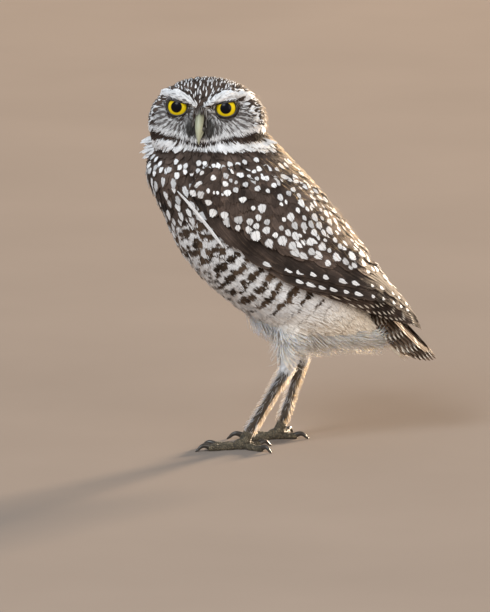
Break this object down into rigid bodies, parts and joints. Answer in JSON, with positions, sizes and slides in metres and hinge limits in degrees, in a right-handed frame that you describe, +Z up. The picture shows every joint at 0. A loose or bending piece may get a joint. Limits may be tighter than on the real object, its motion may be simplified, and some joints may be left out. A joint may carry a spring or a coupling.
{
  "type": "burrowing owl",
  "caption": "Life-size burrowing owl that stands upright on two long legs with its head turned to its left, its wings folded over a short tail.",
  "frame": {"origin": "on the floor under the middle of the owl's bounding box", "axes": "+Z up, the owl's body faces -Y and its left side is +X"},
  "size_m": [0.086, 0.1714, 0.2159],
  "materials": {
    "face_feather": "soft feathers, grey white with fine brown streaks",
    "brown_feather": "dark brown feathers with white spots",
    "pale_feather": "white and buff feathers with brown bars",
    "eye": "wet and clear, yellow iris with black pupil",
    "bill": "satin horn, pale grey green",
    "toe": "scaly olive brown skin",
    "claw": "polished dark horn"
  },
  "bodies": {
    "root": {"head": "face_feather", "neck": "brown_feather", "torso": "pale_feather", "tail": "brown_feather", "left_wing": "brown_feather", "right_wing": "brown_feather", "left_eye": "eye", "right_eye": "eye", "upper_bill": "bill", "lower_bill": "bill", "left_thigh": "pale_feather", "right_thigh": "pale_feather", "left_shank": "pale_feather", "right_shank": "pale_feather", "left_foot": "toe", "right_foot": "toe", "left_inner_claw": "claw", "left_middle_claw": "claw", "left_outer_claw": "claw", "left_hind_claw": "claw", "right_inner_claw": "claw", "right_middle_claw": "claw", "right_outer_claw": "claw", "right_hind_claw": "claw"}
  },
  "joints": []
}
